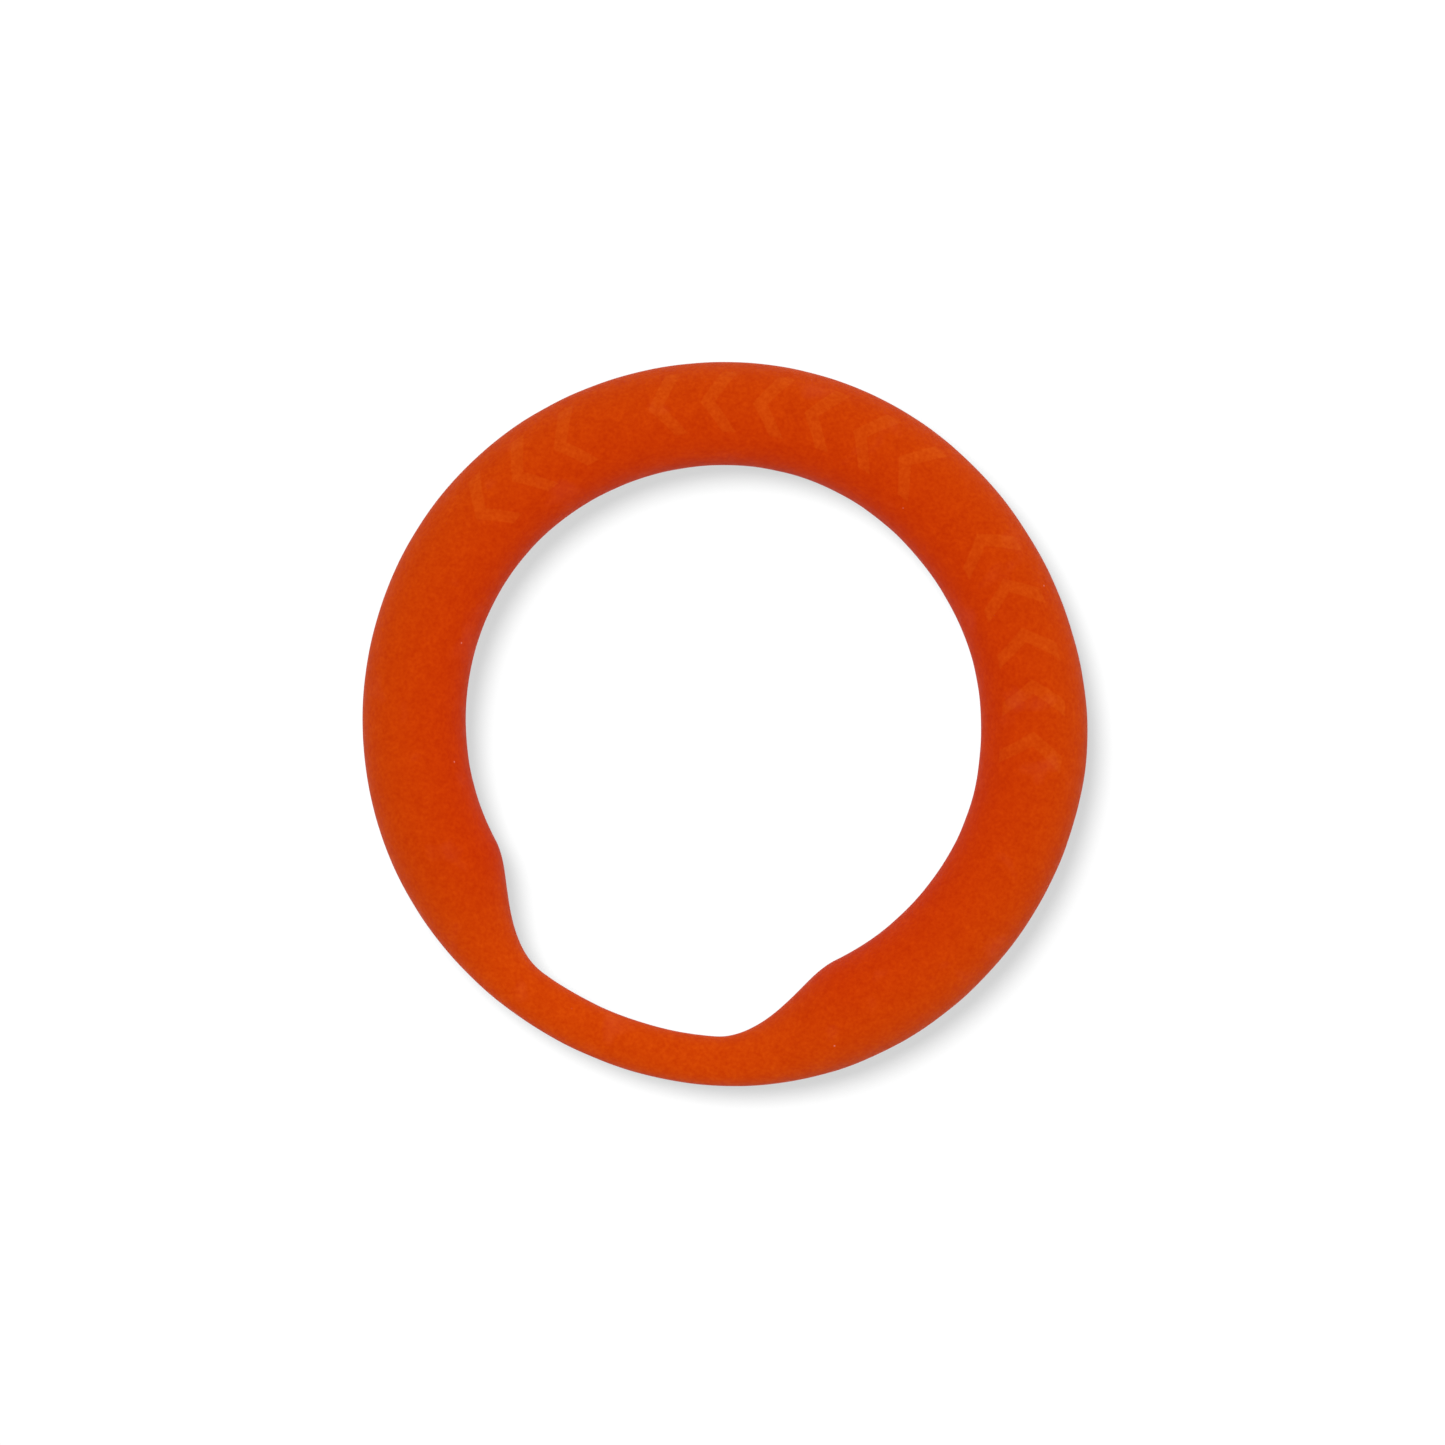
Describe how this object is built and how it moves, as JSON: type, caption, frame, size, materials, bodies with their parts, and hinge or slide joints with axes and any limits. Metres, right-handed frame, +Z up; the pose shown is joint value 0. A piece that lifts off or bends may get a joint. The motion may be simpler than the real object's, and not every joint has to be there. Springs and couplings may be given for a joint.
{
  "type": "flying ring",
  "caption": "Soft round-section throwing ring with a slim grip, its silicone shells moulded over a sponge core on a steel hoop.",
  "frame": {"origin": "middle of the ring's hole, at the height of the flat foot that the ring lies on", "axes": "+Z up, square to the ring, along its spin axis; -Y from the middle towards the slim bridge; +X to the right of the bridge, seen from above with the bridge nearest"},
  "size_m": [0.18, 0.18, 0.0251],
  "materials": {
    "silicone": "matte",
    "sponge": "matte",
    "spring_steel": "satin",
    "crimp_steel": "satin",
    "sleeve_steel": "satin"
  },
  "bodies": {
    "root": {"upper_skin": "silicone", "lower_skin": "silicone", "upper_core": "sponge", "lower_core": "sponge", "backbone_hoop": "spring_steel", "hoop_ferrule": "crimp_steel", "left_balance_sleeve": "sleeve_steel", "right_balance_sleeve": "sleeve_steel"}
  },
  "joints": []
}
